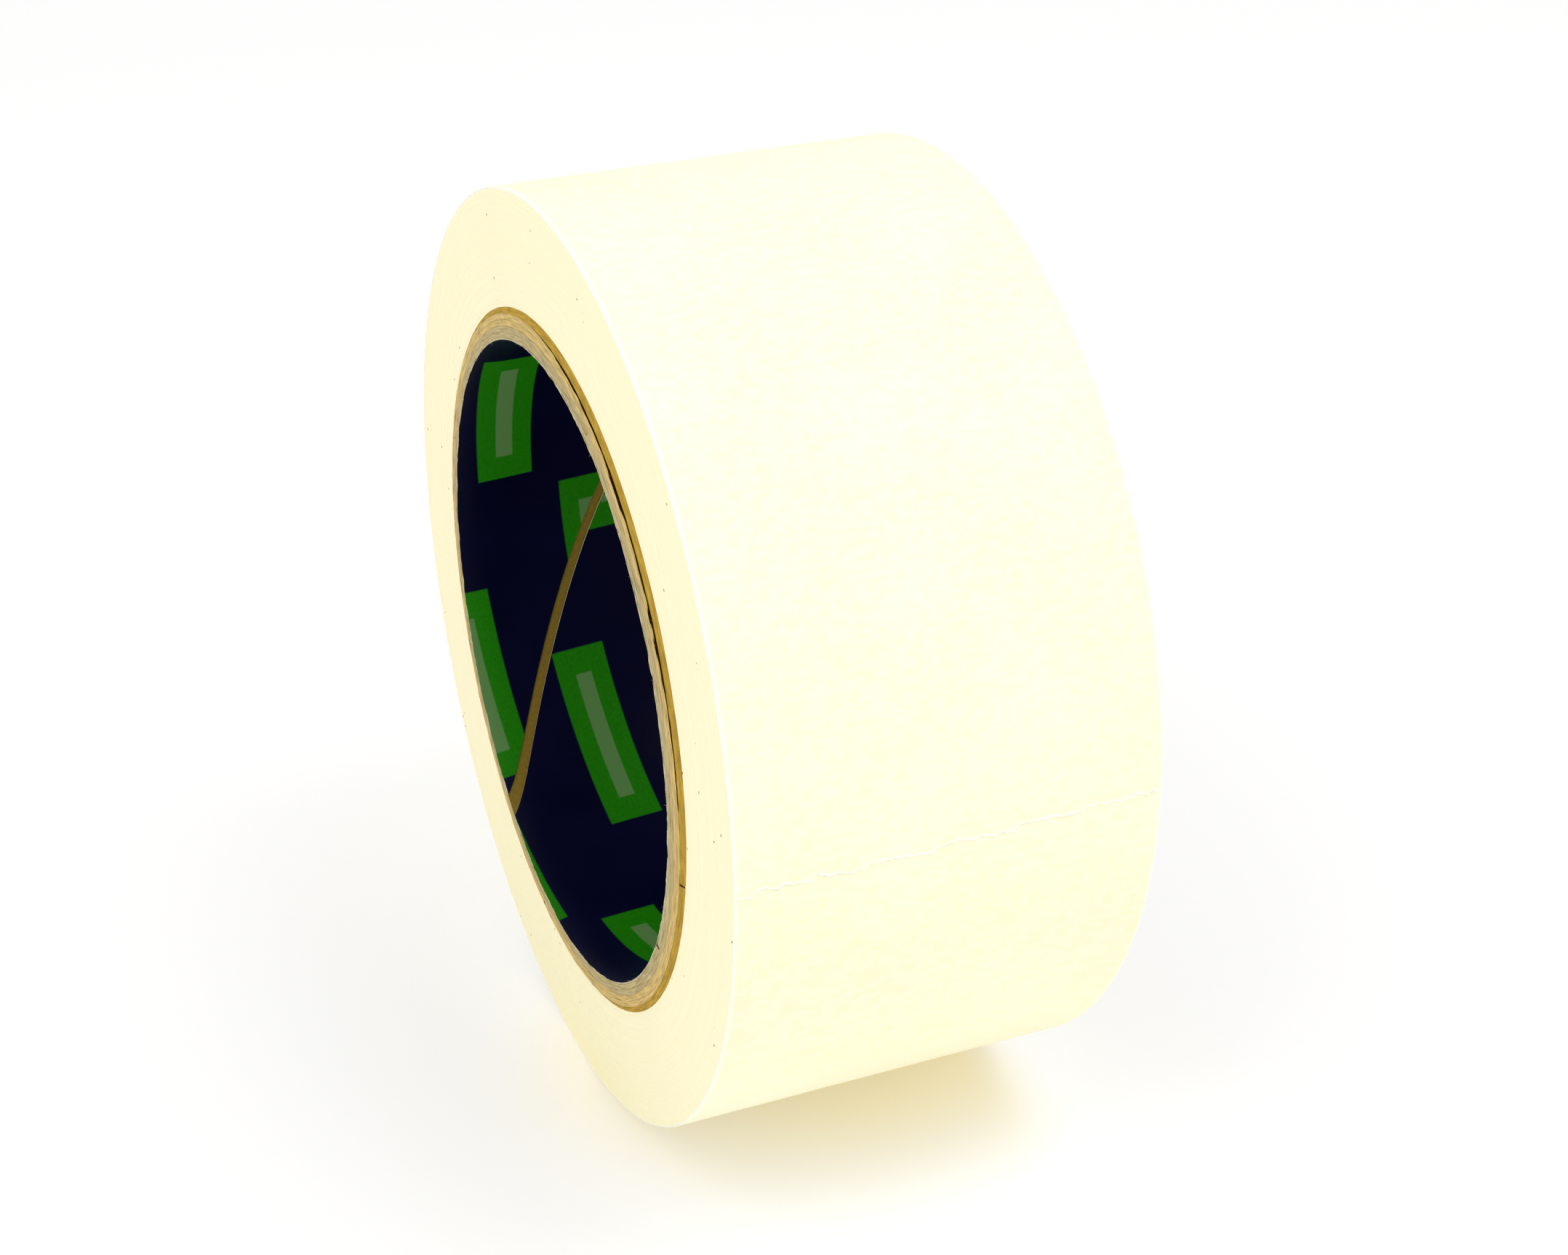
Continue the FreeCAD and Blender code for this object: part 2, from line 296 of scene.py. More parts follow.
class RollColours(bpy.types.PropertyGroup):
    """Colours of the paper, the board and the print."""
    tread: colour("Tread", "Face of the tape", paint(255, 251, 221))
    mottle: colour("Mottle", "Darker flecks in the tape's face", paint(255, 249, 203))
    side: colour("Side", "Slit edges of the wraps", paint(255, 248, 209))
    # Pale paper: random pale patches on the face, and on the crushed corner its paler paper with a painted highlight
    rim: colour("Rim", "Crushed corner of the roll", paint(254, 254, 240))
    torn: colour("Torn edge", "Bare fibres of the tear", paint(255, 255, 248))
    adhesive: colour("Adhesive", "Sticky side of the tape", paint(243, 233, 184))
    outer_ply: colour("Outer ply", "Cut edge of the outermost board", paint(186, 150, 56))
    middle_ply: colour("Middle plies", "Cut edge of the boards between", paint(212, 183, 116))
    inner_ply: colour("Inner plies", "Cut edge of the innermost boards", paint(190, 172, 124))
    kraft: colour("Kraft face", "Flat face of the board", paint(130, 107, 36))
    # Painted shade: the colour that darkens the inside of the split, where shade falls
    split: colour("Split", "Dark inside of the split", paint(36, 24, 5))
    navy: colour("Navy", "Ground of the printed liner", paint(1, 1, 31))
    green: colour("Green", "Printed patches", paint(28, 118, 4))
    bar: colour("Bar", "Plain bar on each patch", paint(90, 129, 74))
    fuzz: colour("Fuzz", "Loose fibres of the core", paint(222, 208, 170))
    paper_edge: colour("Paper edge", "Cut edge of the printed paper", paint(216, 205, 172))
    speck: colour("Speck", "Dust on the side face", paint(96, 88, 56))


class StageSettings(bpy.types.PropertyGroup):
    """Camera, lamps and floor."""
    azimuth: turn("Azimuth", "Camera's turn round the roll", math.radians(67.33))
    elevation: turn("Elevation", "Camera's height angle", math.radians(28.70))
    distance: length("Distance", "Camera to the front face's middle", 328.4 * MM)
    aside: length("Aside", "Camera's offset to its right", 26.85 * MM)
    above: length("Above", "Camera's offset upwards", 4.10 * MM)
    lens: FloatProperty(name="Lens", description="Focal length in millimetres", default=63.18)
    sky: FloatProperty(name="Sky", description="Strength of the even light", default=0.78)
    sky_colour: colour("Sky colour", "Colour of the even light", (1, 0.995, 0.99))
    key: FloatProperty(name="Right lamp", description="Power of the lamp on the right, in watts",
                       default=3.1)
    fill: FloatProperty(name="Left lamp", description="Power of the lamp on the left, in watts",
                        default=2.45)
    lamp_size: length("Lamp size", "Side of each square lamp", 0.45)
    key_place: spot("Right lamp place", "Middle of the right lamp", (0.34, 0.34, 0.98))
    fill_place: spot("Left lamp place", "Middle of the left lamp", (0.30, -0.60, 0.87))
    floor_size: length("Floor size", "Side of the square floor", 8.0)
    floor_white: share("Floor white", "Share of the floor that shows without shading", 0.46)
    floor: colour("Floor", "Colour of the floor", (1, 1, 1))
    # Painted light: a warm tint for light bounced off the tape onto the floor beside the roll
    painted_bounce: colour("Floor by the roll", "Colour of the floor beside the roll",
                       paint(255, 242, 197))
    # Painted light: how much the shadow under the roll is lightened, and where the painted bounce lies
    bounce_lift: share("Warm floor white", "How much more of the warm floor shows so", 0.12)
    bounce_middle: share("Warm middle", "Middle of the warm floor, in roll radii", 0.18)
    bounce_inner: share("Warm inside", "Where warmth starts to fade, in roll radii", 0.19)
    bounce_outer: share("Warm outside", "Where warmth is gone, in roll radii", 0.67)


# ---------------- shader expressions


class Value:
    """A socket that can stand in a Python expression. Numbers may stand on either side."""

    def __init__(self, nodes, socket):
        self.nodes = nodes
        self.socket = socket

    def __add__(self, other):
        return self.nodes.maths("ADD", self, other)

    def __sub__(self, other):
        return self.nodes.maths("SUBTRACT", self, other)

    def __rsub__(self, other):
        return self.nodes.maths("SUBTRACT", other, self)

    def __mul__(self, other):
        return self.nodes.maths("MULTIPLY", self, other)

    def __mod__(self, other):
        return self.nodes.maths("FLOORED_MODULO", self, other)

    def __lt__(self, other):
        return self.nodes.maths("LESS_THAN", self, other)

    def __abs__(self):
        return self.nodes.maths("ABSOLUTE", self)

    def __round__(self):
        return self.nodes.maths("ROUND", self)

    __radd__ = __add__
    __rmul__ = __mul__


class Nodes:
    """The node tree of one material or world."""

    def __init__(self, owner):
        self.owner = owner
        owner.use_nodes = True
        self.tree = owner.node_tree
        self.tree.nodes.clear()

    def add(self, kind, settings=None, inputs=None, output=0):
        """A node of that kind, its settings first, then its sockets' values or links."""
        node = self.tree.nodes.new(kind)
        for name, value in (settings or {}).items():
            setattr(node, name, value)
        pairs = inputs.items() if isinstance(inputs, dict) else enumerate(inputs or [])
        for name, value in pairs:
            if isinstance(value, Value):
                self.tree.links.new(value.socket, node.inputs[name])
            else:
                node.inputs[name].default_value = value
        return Value(self, node.outputs[output]) if node.outputs else None

    def maths(self, operation, *values):
        """A Math node on sockets and plain numbers."""
        return self.add("ShaderNodeMath", {"operation": operation}, values)

    def place(self):
        """The point on the piece as x, y and z, and as one vector."""
        vector = self.add("ShaderNodeTexCoord", output="Object")
        parts = [self.add("ShaderNodeSeparateXYZ", inputs=[vector], output=i) for i in range(3)]
        return parts, vector

    def vector(self, x, y, z):
        return self.add("ShaderNodeCombineXYZ", inputs=[x, y, z])

    def noise(self, vector, scale, detail=2.0, roughness=0.5):
        return self.add("ShaderNodeTexNoise", inputs={
            "Vector": vector, "Scale": scale, "Detail": detail, "Roughness": roughness})

    def band(self, value, low, high):
        """0 below low, 1 above high and a smooth step between them."""
        return self.add("ShaderNodeMapRange", {"interpolation_type": "SMOOTHSTEP"},
                        {"Value": value, "From Min": low, "From Max": high})

    def mix(self, factor, first, second):
        """A mix of two colours, each a plain colour or a link."""
        colours = [value if isinstance(value, Value) else (*value, 1) for value in (first, second)]
        return self.add("ShaderNodeMix", {"data_type": "RGBA"},
                        {0: factor, 6: colours[0], 7: colours[1]}, output=2)

    def bump(self, height, distance, strength=1.0):
        return self.add("ShaderNodeBump", inputs={
            "Height": height, "Distance": distance, "Strength": strength})

    def surface(self, **inputs):
        """The material, with a Principled shader. An underscore stands for a space."""
        sockets = {name.replace("_", " "): value for name, value in inputs.items()}
        return self.finish(self.add("ShaderNodeBsdfPrincipled", inputs=sockets))

    def finish(self, shader, kind="ShaderNodeOutputMaterial"):
        """The material or world, with its shader joined to the node that ends the tree."""
        self.add(kind, inputs={"Surface": shader})
        return self.owner


def axis_distance(nodes, x, z):
    """Distance from the axis that runs where x and z are both 0."""
    return nodes.maths("SQRT", x * x + z * z)


# ---------------- materials


def crepe_wrinkles(nodes, x, y, z):
    """Fine wrinkles that run across the tape."""
    return nodes.noise(nodes.vector(x, y * 0.09, z), 2600, 3, 0.6)


def tape_face(nodes, colours, x, y, z, place, wrinkle):
    """Colour of the tape's face, with faint flecks and cloudy patches."""
    mottle = nodes.noise(nodes.vector(x, y * 0.55, z), 1050, 4, 0.7)
    blotch = nodes.noise(place, 60, 3, 0.6)
    face = nodes.mix(nodes.band(mottle, 0.40, 0.66) * 0.6, colours.tread, colours.mottle)
    face = nodes.mix(nodes.band(wrinkle, 0.35, 0.75) * 0.22, face, colours.side)
    return nodes.mix(nodes.band(blotch, 0.35, 0.75) * 0.22, face, colours.rim)


def tape_sides(nodes, colours, x, z, radius, ring, dust):
    """Colour of the wraps' slit edges: faint rings, and specks of dust."""
    fine_ring = nodes.noise(nodes.vector(radius * 30, x * 0.5, z * 0.5), 260, 2, 0.6)
    sides = nodes.mix(nodes.band(ring, 0.35, 0.70) * 0.36, colours.side, colours.tread)
    sides = nodes.mix(nodes.band(fine_ring, 0.55, 0.80) * 0.30, sides, colours.adhesive)
    return nodes.mix(dust, sides, colours.speck)


def dust_specks(nodes, x, z, place, fibre):
    """Where specks of dust lie on the side, in scattered patches."""
    to_speck = nodes.add("ShaderNodeTexVoronoi", inputs={
        "Vector": nodes.vector(x, 0.0, z), "Scale": 380.0})
    patchy = nodes.band(nodes.noise(place, 42, 2), 0.50, 0.53)
    return (to_speck < fibre * 0.125) * patchy * 0.85


def tape_paper(name, colours, sizes, torn=False):
    """Crepe paper: fine wrinkles across the tape, and the slit edges of the wraps at its sides."""
    nodes = Nodes(bpy.data.materials.new(name))
    (x, y, z), place = nodes.place()
    radius = axis_distance(nodes, x, z)
    edge = nodes.band(abs(y), HALF_WIDTH - 0.26 * MM, HALF_WIDTH - 0.10 * MM)
    near_top = nodes.band(radius, sizes.radius - 0.55 * MM, sizes.radius - 0.18 * MM)
    # The roll's crushed outer corner, which gets a painted highlight
    corner = nodes.band(abs(y), HALF_WIDTH - 0.55 * MM, HALF_WIDTH - 0.16 * MM) * near_top
    wrinkle = crepe_wrinkles(nodes, x, y, z)
    wide_wrinkle = nodes.noise(nodes.vector(x, y * 0.16, z), 800, 2)
    fibre = nodes.noise(place, 5200, 2)
    ring = nodes.noise(nodes.vector(radius * 60, x * 0.6, z * 0.6), 60, 3, 0.65)
    face = tape_face(nodes, colours, x, y, z, place, wrinkle)
    dust = dust_specks(nodes, x, z, place, fibre)
    sides = tape_sides(nodes, colours, x, z, radius, ring, dust)
    base = nodes.mix(edge, face, sides)
    # Painted highlight: the crushed corner is paler paper, and is paled further where its rounded edge would catch the
    # light
    base = nodes.mix(corner * 0.85, base, colours.rim)
    if torn:
        bare = nodes.add("ShaderNodeAttribute", {"attribute_name": "bare"}, output="Fac")
        base = nodes.mix(bare, base, colours.torn)
    height = (wrinkle * 0.7 + wide_wrinkle * 0.6) * (1 - edge) + (ring * 0.8 + fibre * 0.3) * edge
    return nodes.surface(Base_Color=base, Roughness=nodes.band(wrinkle, 0, 1) * 0.15 + 0.68,
                         Specular_IOR_Level=0.22, Normal=nodes.bump(height, 0.035 * MM, 0.55))


def sticky_paper(colours):
    """The underside of the tape, with a thin coat of adhesive."""
    nodes = Nodes(bpy.data.materials.new("tape adhesive side"))
    (x, y, z), place = nodes.place()
    wrinkle = crepe_wrinkles(nodes, x, y, z)
    blotch = nodes.noise(place, 240, 3)
    base = nodes.mix(nodes.band(blotch, 0.3, 0.7) * 0.5, colours.adhesive, colours.side)
    return nodes.surface(Base_Color=base, Roughness=nodes.band(blotch, 0.2, 0.8) * 0.2 + 0.3,
                         Specular_IOR_Level=0.5, Normal=nodes.bump(wrinkle, 0.02 * MM, 0.5))


def cut_board(name, shade):
    """The cut end of a ply of core board, with streaky laminations."""
    nodes = Nodes(bpy.data.materials.new(name))
    (x, _, z), place = nodes.place()
    radius = axis_distance(nodes, x, z)
    streak = nodes.noise(nodes.vector(radius * 14, x * 0.9, z * 0.9), 420, 3, 0.62)
    grain = nodes.noise(place, 2400, 3, 0.6)
    blotch = nodes.noise(place, 130, 2)
    dark = tuple(value * 0.62 for value in shade)
    pale = tuple(min(1, value * 1.22) for value in shade)
    cut = nodes.mix(nodes.band(streak, 0.34, 0.70), dark, pale)
    cut = nodes.mix(nodes.band(blotch, 0.3, 0.7) * 0.45, cut, shade)
    cut = nodes.mix(nodes.band(grain, 0.62, 0.74) * 0.35, cut, dark)
    return nodes.surface(Base_Color=cut, Roughness=0.86, Specular_IOR_Level=0.15,
                         Normal=nodes.bump(streak * 0.8 + grain * 0.6, 0.05 * MM, 0.7))


def kraft_board(name, colours, split_shade_below):
    """The flat face of a ply, with painted shade where the ply has split away from the next one."""
    nodes = Nodes(bpy.data.materials.new(name))
    (x, _, z), place = nodes.place()
    radius = axis_distance(nodes, x, z)
    grain = nodes.noise(place, 2400, 3, 0.6)
    dark = tuple(value * 0.72 for value in colours.kraft)
    base = nodes.mix(nodes.band(grain, 0.3, 0.7) * 0.6, colours.kraft, dark)
    # Painted shade: the face turns to the dark split colour below the split's radius
    base = nodes.mix(nodes.band(split_shade_below - radius, 0, 0.05 * MM), base, colours.split)
    return nodes.surface(Base_Color=base, Roughness=0.86, Specular_IOR_Level=0.15,
                         Normal=nodes.bump(grain, 0.03 * MM, 0.7))


def paper_edge(colours):
    """The pale cut edge of the liner."""
    nodes = Nodes(bpy.data.materials.new("liner paper edge"))
    _, place = nodes.place()
    grain = nodes.noise(place, 3000, 3, 0.6)
    dark = tuple(value * 0.8 for value in colours.paper_edge)
    base = nodes.mix(nodes.band(grain, 0.3, 0.7), colours.paper_edge, dark)
    return nodes.surface(Base_Color=base, Roughness=0.85, Specular_IOR_Level=0.15)


def printed_paper(colours, prints, core):
    """The liner: dark paper, with plain patches in slanting rows along the wound strip."""
    nodes = Nodes(bpy.data.materials.new("printed liner paper"))
    (x, y, z), place = nodes.place()
    across = y + HALF_WIDTH
    angle = nodes.maths("ARCTAN2", z, x)
    slant = seam_slant(BORE_RADIUS, core.strip, core.liner_gap)
    lead = FULL_TURN * BORE_RADIUS * math.tan(slant)
    seam = core.seam_angle - across * (FULL_TURN / lead)
    around = ((angle - seam) % FULL_TURN + seam - prints.first_angle) * BORE_RADIUS
    along = across - prints.first_across
    area = prints.next_around * prints.row_across - prints.next_across * prints.row_around
    column = (around * prints.row_across - along * prints.row_around) * (1 / area)
    row = (along * prints.next_around - around * prints.next_across) * (1 / area)
    column = column - round(column)
    row = row - round(row)
    local_around = column * prints.next_around + row * prints.row_around
    local_across = column * prints.next_across + row * prints.row_across
    cosine, sine = math.cos(prints.tilt), math.sin(prints.tilt)
    patch_x = abs(local_around * cosine + local_across * sine)
    patch_y = abs(local_across * cosine - local_around * sine)

    def box(size_x, size_y):
        """1 inside a box about the nearest patch's middle, with soft edges."""
        soft = 0.12 * MM
        return ((1 - nodes.band(patch_x, size_x / 2 - soft, size_x / 2 + soft))
                * (1 - nodes.band(patch_y, size_y / 2 - soft, size_y / 2 + soft)))

    patch = box(prints.patch_length, prints.patch_width)
    bar = box(prints.bar_length, prints.bar_width)
    grain = nodes.noise(place, 2600, 3, 0.6)
    blotch = nodes.noise(place, 90, 2)
    navy_pale = tuple(value * 1.6 for value in colours.navy)
    base = nodes.mix(nodes.band(blotch, 0.35, 0.75) * 0.5, colours.navy, navy_pale)
    green_dark = tuple(value * 0.6 for value in colours.green)
    green = nodes.mix(nodes.band(grain, 0.35, 0.75) * 0.5, colours.green, green_dark)
    green = nodes.mix(bar * 0.95, green, colours.bar)
    base = nodes.mix(patch, base, green)
    return nodes.surface(Base_Color=base, Roughness=nodes.band(blotch, 0.3, 0.8) * 0.12 + 0.42,
                         Specular_IOR_Level=0.06, Normal=nodes.bump(grain, 0.012 * MM, 0.5))


def loose_fibre(name, shade):
    """Single fibres of paper or board."""
    nodes = Nodes(bpy.data.materials.new(name))
    _, place = nodes.place()
    dark = tuple(value * 0.75 for value in shade)
    base = nodes.mix(nodes.noise(place, 900, 2), shade, dark)
    return nodes.surface(Base_Color=base, Roughness=0.8, Specular_IOR_Level=0.2)


def seen_directly(nodes):
    """1 for what the camera sees directly, in gloss or through glass, and 0 for lighting."""
    rays = [nodes.add("ShaderNodeLightPath", output=name)
            for name in ("Is Camera Ray", "Is Glossy Ray", "Is Transmission Ray")]
    total = rays[0] + rays[1] + rays[2]
    return nodes.maths("MINIMUM", total, 1.0)


def floor_paper(stage, sizes):
    """Plain pale floor, with a painted warm glow beside the roll for light bounced off the tape, and painted light
    that lightens the shadow there. A share of it shows without shading.
    """
    nodes = Nodes(bpy.data.materials.new("pale floor"))
    (x, y, _), _ = nodes.place()
    # Painted bounce light: a warm patch under and in front of the roll, kept off the floor behind it
    middle = stage.bounce_middle * sizes.radius
    reach = axis_distance(nodes, x - middle, (y - middle) * 0.7)
    behind = nodes.band(y, HALF_WIDTH - 7 * MM, HALF_WIDTH + 4 * MM)
    fading = nodes.band(reach, stage.bounce_inner * sizes.radius, stage.bounce_outer * sizes.radius)
    near = (1 - fading) * (1 - behind)
    bounce_tone = nodes.mix(near, stage.floor, stage.painted_bounce)
    lit = nodes.add("ShaderNodeBsdfDiffuse", inputs={"Color": bounce_tone})
    plain = nodes.add("ShaderNodeEmission", inputs={"Color": bounce_tone, "Strength": 1.0})
    # Painted light: near the roll more of the floor shows without shading, which lightens its shadow
    factor = seen_directly(nodes) * (near * stage.bounce_lift + stage.floor_white)
    return nodes.finish(nodes.add("ShaderNodeMixShader", inputs=[factor, lit, plain]))


# ---------------- shapes


def uneven(position, period, seed):
    """A smooth random wave between -1 and 1 along a length, the same on every run."""
    table = np.random.default_rng(seed).uniform(-1, 1, WAVE_CELLS)
    cell = np.floor(np.asarray(position) / period).astype(int)
    part = np.asarray(position) / period - cell
    part = part * part * (3 - 2 * part)
    return table[cell % WAVE_CELLS] * (1 - part) + table[(cell + 1) % WAVE_CELLS] * part


def stepped(position, period, seed):
    """Slow rises of uneven height between 0 and 1, each ending in a sudden drop."""
    moved = np.asarray(position) + 0.45 * period * uneven(position, 1.6 * period, seed + 1)
    cell = np.floor(moved / period).astype(int)
    part = moved / period - cell
    height = np.random.default_rng(seed).uniform(0.45, 1, WAVE_CELLS)[cell % WAVE_CELLS]
    return height * np.minimum(part / 0.9, (1 - part) / 0.1)


def points(angle, radius, across):
    """Points at those angles, distances from the axis and places along it."""
    angle, radius, across = np.broadcast_arrays(angle, radius, across)
    return np.stack([radius * np.cos(angle), across, radius * np.sin(angle)], axis=-1)


def grid_faces(rows, columns, first=0, close=False):
    """Quads over a grid of points, numbered row by row. close joins each row's ends."""
    i = np.arange(rows - 1)[:, None]
    j = np.arange(columns if close else columns - 1)[None, :]
    k = (j + 1) % columns
    quads = np.stack([i * columns + j, i * columns + k, (i + 1) * columns + k,
                      (i + 1) * columns + j], axis=-1)
    return (quads.reshape(-1, 4) + first).tolist()


def new_piece(context, name, vertices, faces, materials, sharp=SMOOTH_UNDER):
    """A mesh with those points, faces and materials, smooth between its sharp edges."""
    mesh = bpy.data.meshes.new(name)
    mesh.from_pydata(np.asarray(vertices).reshape(-1, 3).tolist(), [], faces)
    mesh.polygons.foreach_set("use_smooth", [True] * len(mesh.polygons))
    mesh.update()
    mesh.set_sharp_from_angle(angle=sharp)
    for material in materials:
        mesh.materials.append(material)
    piece = bpy.data.objects.new(name, mesh)
    context.collection.objects.link(piece)
    return piece


def wrap_radius(sizes, turned):
    """Outside of the tape at a turn along it."""
    return sizes.radius - sizes.thickness * np.asarray(turned) / FULL_TURN


def corner_drop(sizes, across):
    """How far the crushed corner lies under the face, at a place across the tape."""
    inside = np.clip((HALF_WIDTH - np.abs(across)) / sizes.edge_round, 0, 1)
    return 0.85 * sizes.thickness * (1 - inside) ** 2


def rows_across(near, middle_rows):
    """Places across the roll: at those distances from both edges, and evenly between."""
    middle = np.linspace(-HALF_WIDTH + near[-1], HALF_WIDTH - near[-1], middle_rows)[1:-1]
    return np.concatenate([-HALF_WIDTH + near, middle, HALF_WIDTH - near[::-1]])


def tape_rows(sizes, middle_rows, innermost=1.6):
    """Places across the tape, close together at its rounded edges."""
    near = sizes.edge_round * np.array(EDGE_ROWS + [innermost])
    return rows_across(near, middle_rows)


def tape_sheet(context, sizes, name, low, high, part, across, materials, lift=0.0, thin=1.0):
    """A closed length of tape on the roll, from turn low to turn high, each one value or one
    for every row across. part is where its cross rows lie between the two, from 0 to 1. lift
    raises it off the roll and thin is its share of the thickness, at every point or for all."""
    low = np.broadcast_to(low, across.shape)
    turned = low + (high - low) * part[:, None]
    thick = (sizes.thickness - sizes.slack) * thin
    under = wrap_radius(sizes, turned) - sizes.thickness + sizes.slack + lift
    drop = np.minimum(corner_drop(sizes, across), thick * 0.9)
    top = under + thick - drop
    angle = TORN_ANGLE + turned
    vertices = np.stack([points(angle, top, across), points(angle, under, across)])
    rows, columns = turned.shape
    count = rows * columns
    top_faces = [quad[::-1] for quad in grid_faces(rows, columns)]
    under_faces = grid_faces(rows, columns, count)
    border = (list(range(columns))
              + [i * columns + columns - 1 for i in range(1, rows)]
              + [(rows - 1) * columns + j for j in range(columns - 2, -1, -1)]
              + [i * columns for i in range(rows - 2, 0, -1)])
    rim_faces = [[a, b, b + count, a + count] for a, b in zip(border, border[1:] + border[:1])]
    faces = top_faces + under_faces + rim_faces
    piece = new_piece(context, name, vertices, faces, materials)
    if len(materials) > 1:
        slots = [0] * len(top_faces) + [1] * len(under_faces) + [0] * len(rim_faces)
        piece.data.polygons.foreach_set("material_index", slots)
    return piece


def wound_web(context, sizes, name, start, end, material):
    """The wound tape as one strip: every wrap has its own edge, a little off its neighbours'."""
    steps = int(round((end - start) / FULL_TURN * sizes.steps))
    turned = np.linspace(start, end, steps + 1)
    outer = wrap_radius(sizes, turned)
    inner = outer - sizes.thickness + sizes.slack
    depth = sizes.radius - outer
    round_off = sizes.edge_round
    short = np.clip(round_off - depth, 0, None)
    crushed = round_off - np.sqrt(np.clip(round_off ** 2 - short ** 2, 0, None))
    slow = FULL_TURN * 1.7
    front = sizes.edge_scatter * (0.5 + 0.5 * uneven(turned, slow, 11)) + crushed
    back = sizes.edge_scatter * (0.5 + 0.5 * uneven(turned, slow, 12)) + crushed
    angle = TORN_ANGLE + turned
    section = [points(angle, inner, -HALF_WIDTH + front), points(angle, outer, -HALF_WIDTH + front),
               points(angle, outer, HALF_WIDTH - back), points(angle, inner, HALF_WIDTH - back)]
    vertices = np.stack(section, axis=1)
    faces = grid_faces(steps + 1, 4, close=True)
    last = steps * 4
    faces = faces + [[3, 2, 1, 0], [last, last + 1, last + 2, last + 3]]
    return new_piece(context, name, vertices, faces, [material])


def seam_slant(radius, strip, gap):
    """Angle between a strip's seam and a circle round the core."""
    return math.asin((strip + gap) / (FULL_TURN * radius))


def cut_end(core, radius, depth, front):
    """The cut end of the core, at a radius and a depth inside the roll: how far it stands out
    and how far it flares. The back end was cut more gently."""
    cut = 1.0 if front else BACK_CUT
    places = [BORE_RADIUS, CORE_OUTSIDE - core.board, CORE_OUTSIDE]
    rise = np.interp(radius, places, [core.rim_rise, core.ply_rise, 0]) * cut
    wall = (CORE_OUTSIDE - radius) / (CORE_OUTSIDE - BORE_RADIUS)
    flare = core.flare * cut * wall
    return rise * np.exp(-depth / RISE_DEPTH), flare * np.exp(-depth / FLARE_DEPTH)


def split_gap(core, widest, angle, radius, rows):
    """How far the split opens at those angles round the core and places along it."""
    away = np.abs((angle - core.crack_middle + math.pi) % FULL_TURN - math.pi)
    opened = np.clip(1 - (away / core.crack_reach) ** 2, 0, 1)
    opened = opened * (0.72 + 0.28 * uneven(angle * radius, 1.7 * MM, 91))
    deep = np.clip(1 - (rows + HALF_WIDTH) / core.crack_depth, 0, 1)
    return widest * opened * deep


def layer_faces(turns, count):
    """Faces of a wound strip, and the material slot of each: 0 on its faces, 1 where cut."""
    columns = 2 * count
    faces = grid_faces(turns + 1, columns, close=True)
    for base, order in ((0, 1), (turns * columns, -1)):
        for j in range(count - 1):
            cell = [j, j + 1, columns - 2 - j, columns - 1 - j]
            faces.append([base + k for k in cell][::order])
    slots = np.ones(len(faces), dtype=int)
    wound = slots[:turns * columns].reshape(-1, columns)
    wound[:, :] = 0
    wound[:, [count - 1, columns - 1]] = 1
    return faces, slots


def core_layer(context, core, name, inside, thickness, gap, seam_angle, look, materials):
    """One wound strip of the core, open along its helical seam. look holds the number of
    columns, how rough its cut end is, and the split over its outside. The materials are those
    of its faces and of its cut edges."""
    around = FULL_TURN * inside
    slant = seam_slant(inside, core.strip, gap)
    lead = around * math.tan(slant)
    gap_turn = gap / math.sin(slant) / inside
    rows = rows_across(CUT_ROWS, CORE_ROWS)
    part = np.linspace(0, 1, look["columns"] + 1)[:, None]
    seam = seam_angle - (rows + HALF_WIDTH) / lead * FULL_TURN
    angle = seam + gap_turn / 2 + part * (FULL_TURN - gap_turn)

    def wall(radius, seed):
        """Distance from the axis and place along it of one face of the strip."""
        front_rise, front_flare = cut_end(core, radius, rows + HALF_WIDTH, True)
        back_rise, back_flare = cut_end(core, radius, HALF_WIDTH - rows, False)
        rough = 0.6 * uneven(part * around, 1.7 * MM, seed)
        rough = rough + 0.4 * uneven(part * around, 0.6 * MM, seed + 1)
        ends = np.exp(-(rows + HALF_WIDTH) / (0.5 * MM)) - np.exp((rows - HALF_WIDTH) / (0.5 * MM))
        across = rows - front_rise + back_rise + look["rough"] * rough * ends
        return radius + front_flare + back_flare, across

    inner = points(angle, *wall(inside, look["seed"]))
    outer_radius, outer_rows = wall(inside + thickness, look["seed"] + 7)
    outer_radius = outer_radius - split_gap(core, look["split"], angle, inside, rows)
    outer = points(angle, outer_radius, outer_rows)
    faces, slots = layer_faces(look["columns"], rows.size)
    loop = np.concatenate([inner, outer[:, ::-1]], axis=1)
    piece = new_piece(context, name, loop, faces, materials, sharp=math.radians(40))
    piece.data.polygons.foreach_set("material_index", slots)
    return piece


